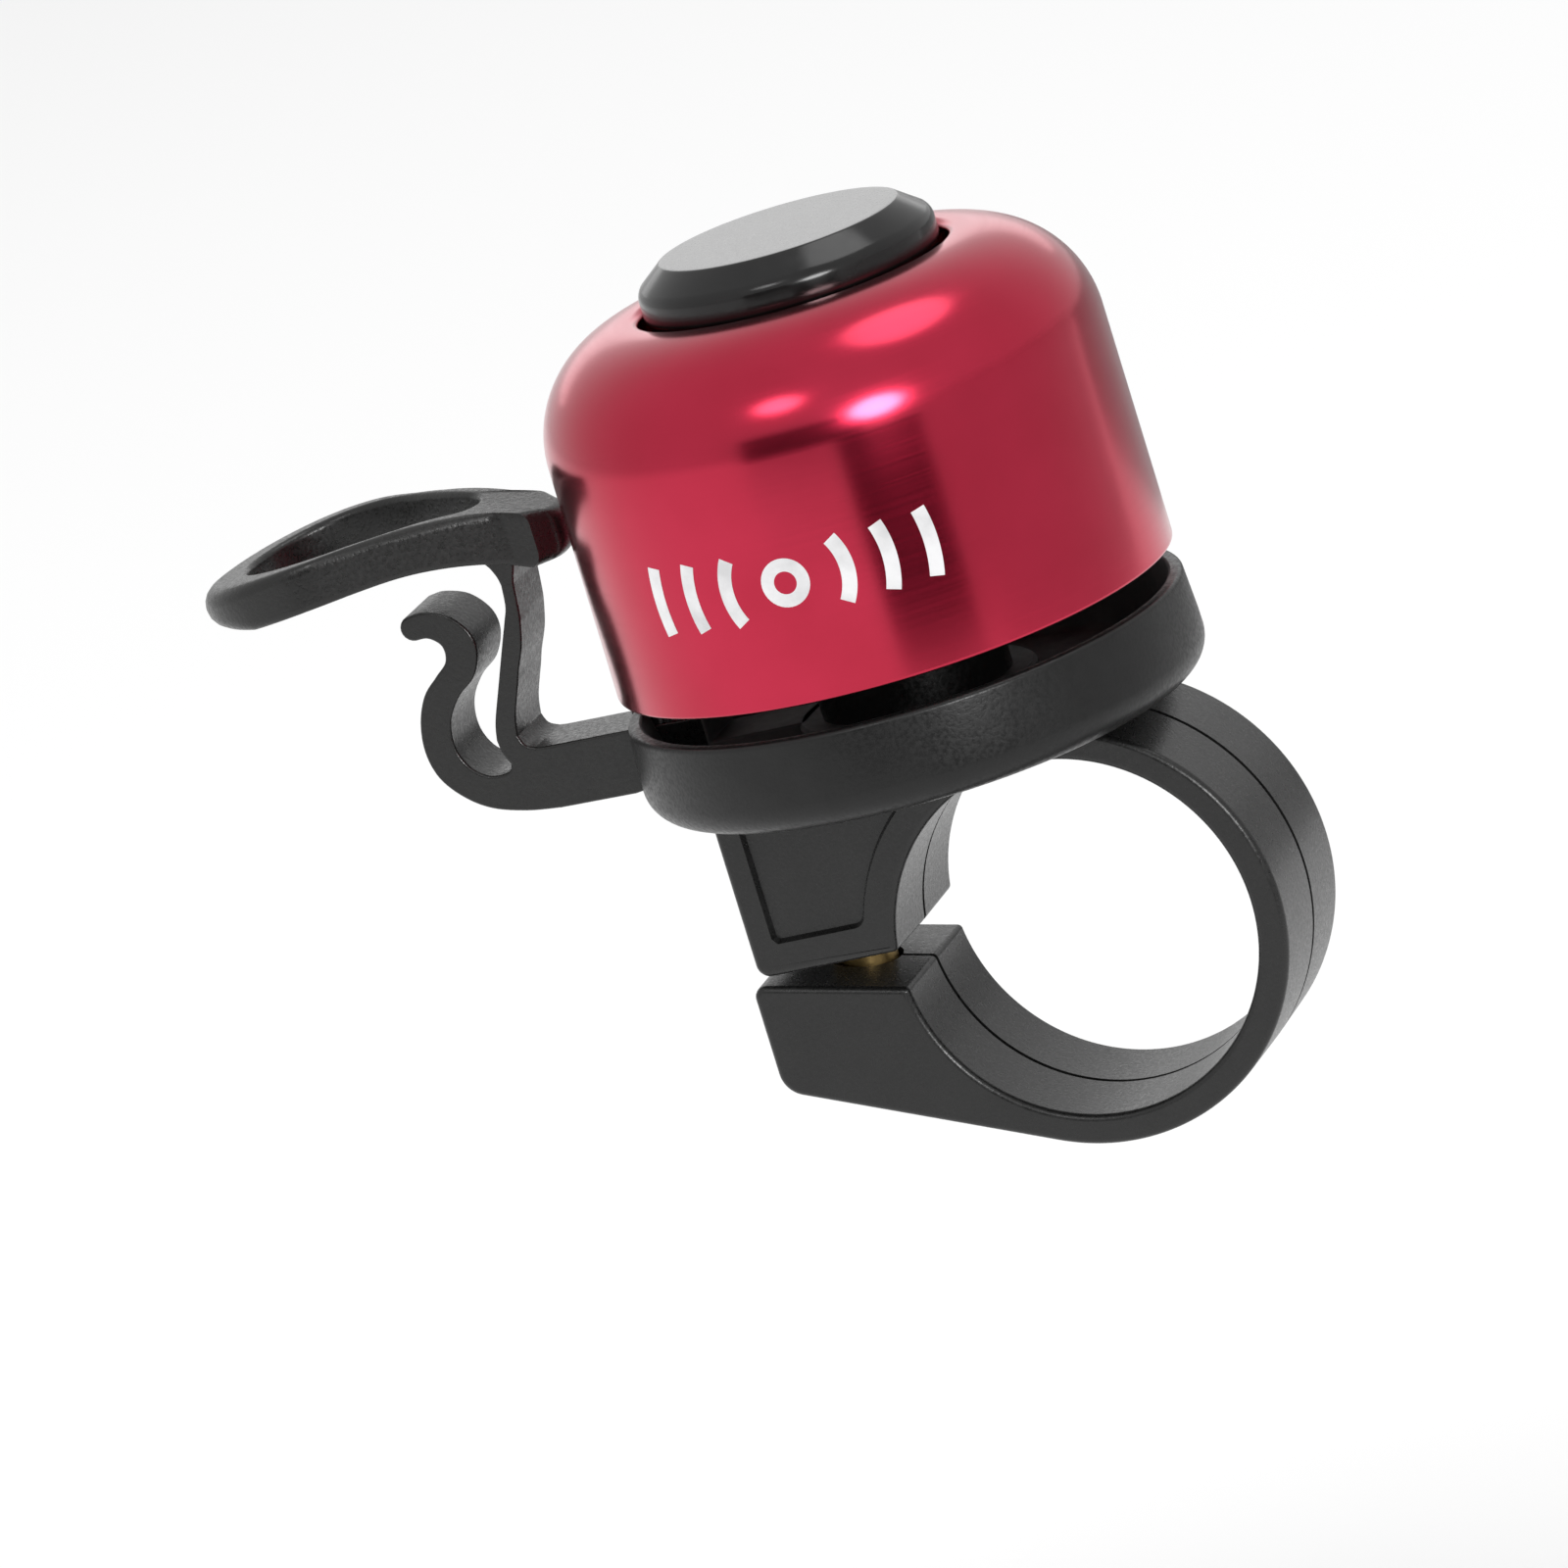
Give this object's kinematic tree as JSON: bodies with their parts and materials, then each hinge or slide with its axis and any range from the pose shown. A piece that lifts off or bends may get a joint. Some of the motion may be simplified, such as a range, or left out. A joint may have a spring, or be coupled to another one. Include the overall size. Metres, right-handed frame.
{
  "type": "bicycle bell",
  "caption": "Mini handlebar bell: red anodised dome over a black dish, thumb lever with finger ring on a flexing leaf, and a hinged band clamp.",
  "frame": {"origin": "centre of the clamp's bore, on the handlebar's axis", "axes": "+Y along the handlebar, +Z along the bell's axis towards the cap, -X towards the thumb lever"},
  "size_m": [0.0632, 0.0356, 0.0585],
  "materials": {
    "dome_red": "red anodised, satin with soft streaks",
    "cap_plastic": "gloss black with a matte top face",
    "dish_plastic": "satin black",
    "arm_plastic": "fine-grained black",
    "clamp_plastic": "fine-grained black with satin bevels",
    "washer_rubber": "dull",
    "zinc_steel": "yellow zinc plated",
    "bright_steel": "bright zinc plated",
    "insert_brass": "turned"
  },
  "bodies": {
    "bell": {"clamp_bracket": "clamp_plastic", "band_flexure": "clamp_plastic", "clamp_nut": "zinc_steel", "base_dish": "dish_plastic", "striker_arm": "arm_plastic", "post_insert": "insert_brass", "dome_spacer": "dish_plastic", "isolating_washer": "washer_rubber", "bell_dome": "dome_red", "crown_washer": "bright_steel", "spring_washer": "bright_steel", "dome_screw": "bright_steel", "top_cap": "cap_plastic"},
    "lever": {"thumb_lever": "arm_plastic", "leaf_spring": "arm_plastic"},
    "jaw": {"clamp_jaw": "clamp_plastic"},
    "washer": {"clamp_washer": "zinc_steel"},
    "screw": {"clamp_screw": "zinc_steel"}
  },
  "joints": [
    {"name": "striker_swing", "type": "hinge", "parent": "bell", "child": "lever", "pos_m": [-0.0315, 0, 0.022], "axis": [0, -1, 0], "range_deg": [-6.5, 24], "stiffness_Nm_per_rad": 0.12, "deforming": ["leaf_spring"]},
    {"name": "washer_travel", "type": "slide", "parent": "bell", "child": "washer", "axis": [0, 0, -1], "range_m": [0, 0.0021]},
    {"name": "screw_turn", "type": "hinge", "parent": "washer", "child": "screw", "pos_m": [-0.0156, 0, -0.005], "axis": [0, 0, -1], "range_deg": [0, 1080]},
    {"name": "jaw_open", "type": "hinge", "parent": "bell", "child": "jaw", "pos_m": [0.01225, 0, 0], "axis": [0, -1, 0], "range_deg": [0, 3.65], "deforming": ["band_flexure"]}
  ],
  "couplings": [
    {"joint": "screw_turn", "follows": "washer_travel", "rad_per_m": 8975},
    {"joint": "jaw_open", "follows": "washer_travel", "rad_per_m": 29.9}
  ]
}
